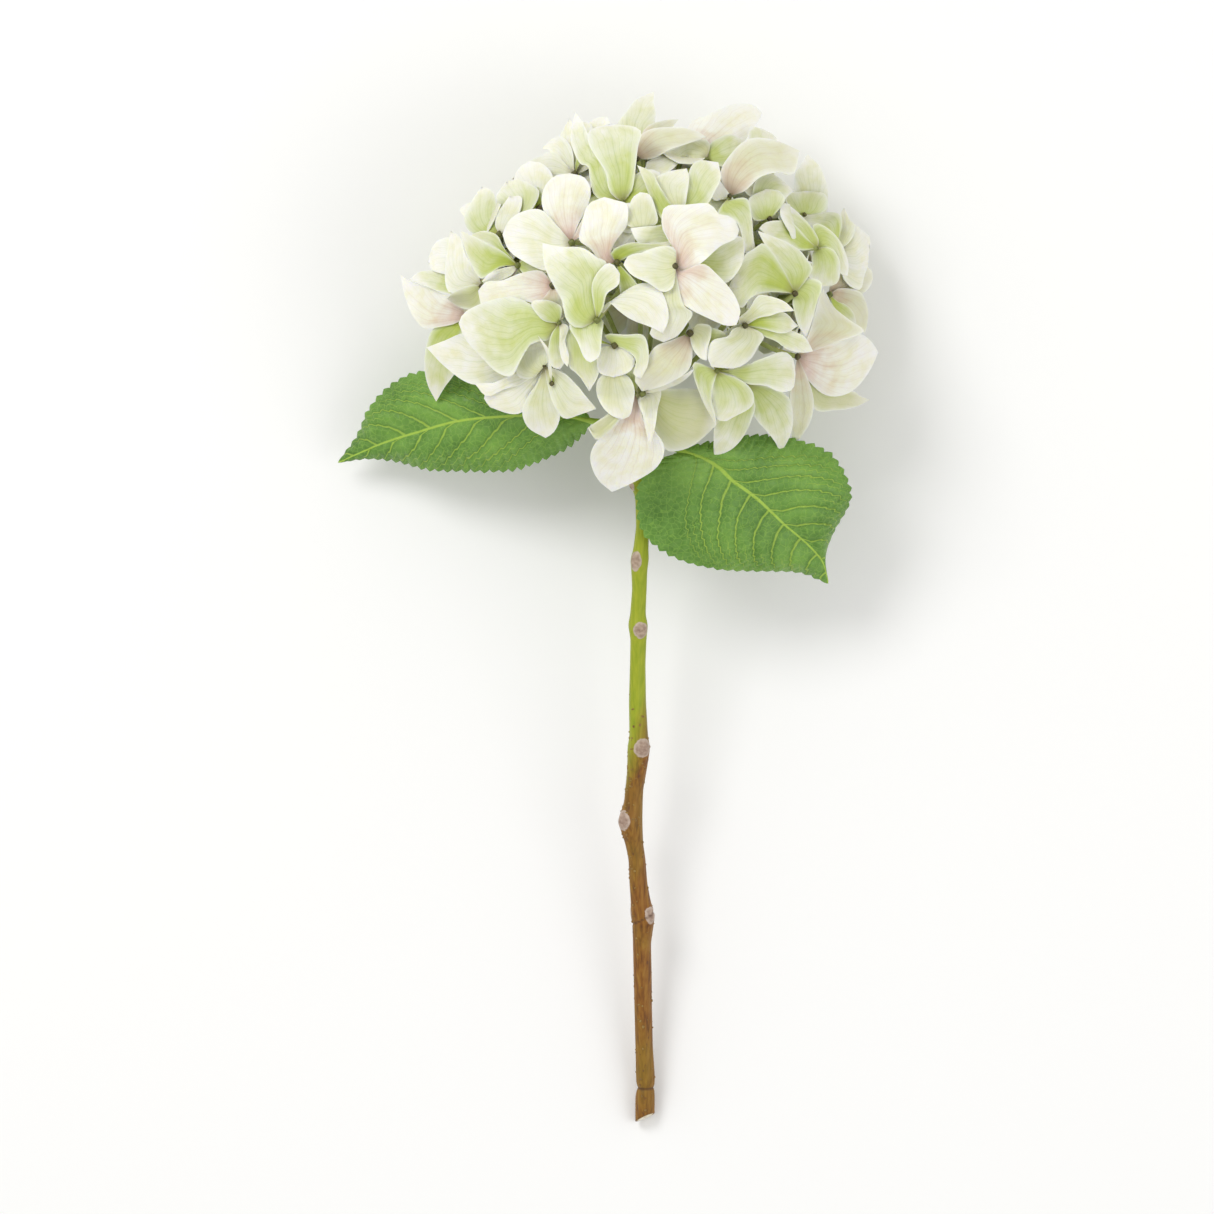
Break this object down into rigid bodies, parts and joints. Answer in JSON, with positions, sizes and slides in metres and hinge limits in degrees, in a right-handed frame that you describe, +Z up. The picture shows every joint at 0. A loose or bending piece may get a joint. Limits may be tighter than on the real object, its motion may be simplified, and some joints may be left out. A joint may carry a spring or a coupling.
{
  "type": "cut mophead hydrangea",
  "caption": "Cut hydrangea lying on a surface: a dome of creamy white and pale green florets on a woody stem, with serrated leaves below the head.",
  "frame": {"origin": "on the resting surface under the middle of the whole flower", "axes": "+Y along the stem towards the flower head, +Z up from the surface, +X to the right when the head points away"},
  "size_m": [0.2167, 0.4135, 0.1361],
  "materials": {
    "stem": "satin bark, green above and brown below",
    "cut_wood": "raw cut",
    "sepals": "soft matte, cream to pale green",
    "pedicels": "matte green stalks and dark buds",
    "leaves": "satin leaf green"
  },
  "bodies": {
    "root": {"stem": "stem", "flower_head": "sepals", "leaf_left": "leaves", "leaf_right": "leaves"}
  },
  "joints": []
}
